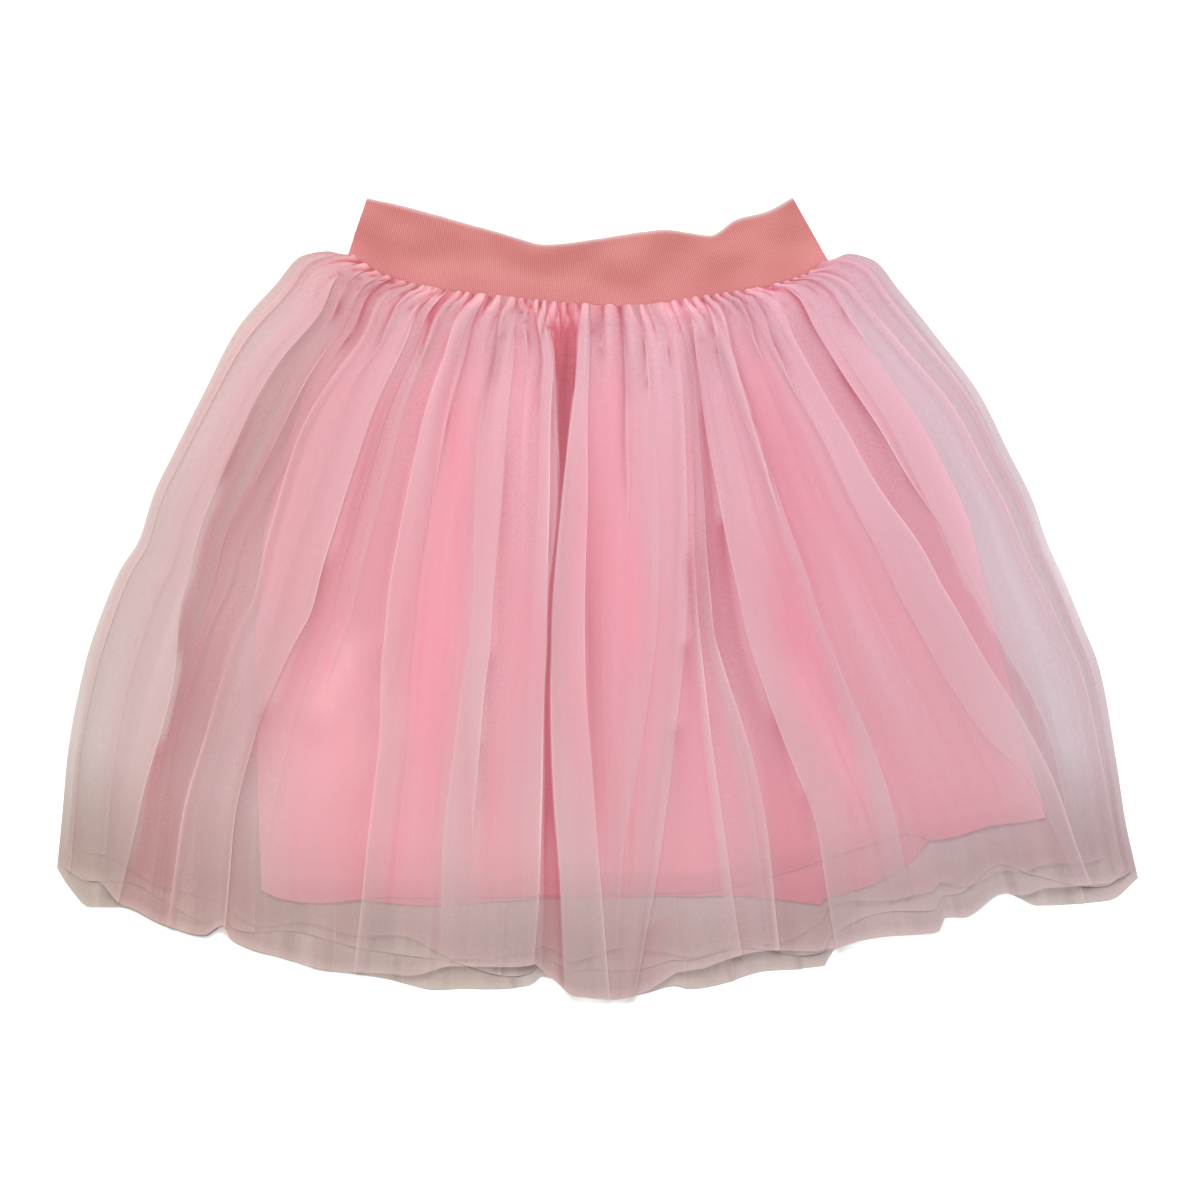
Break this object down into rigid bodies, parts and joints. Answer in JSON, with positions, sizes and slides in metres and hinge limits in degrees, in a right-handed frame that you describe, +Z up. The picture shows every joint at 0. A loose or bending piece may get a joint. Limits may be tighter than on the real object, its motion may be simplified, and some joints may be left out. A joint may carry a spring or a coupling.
{
  "type": "tulle skirt",
  "caption": "Child's pull-on gathered tulle skirt laid flat, with a ribbed elastic waistband and a short pink lining under layered net.",
  "frame": {"origin": "centre of the flat-laid outline, on the surface that the skirt lies on", "axes": "+X to the right across the skirt seen from above, +Y from the hem to the waistband, +Z up out of the front"},
  "size_m": [0.6594, 0.4916, 0.0216],
  "materials": {
    "waistband": "ribbed knitted elastic, matt",
    "tulle": "fine soft net, matt, see-through",
    "under_tulle": "fine soft net, matt, see-through",
    "lining": "smooth woven lining with a faint sheen"
  },
  "bodies": {
    "root": {"waistband_front": "waistband", "waistband_back": "waistband", "tulle_top_front": "tulle", "tulle_top_back": "tulle", "tulle_under_front": "under_tulle", "tulle_under_back": "under_tulle", "lining_front": "lining", "lining_back": "lining"}
  },
  "joints": []
}
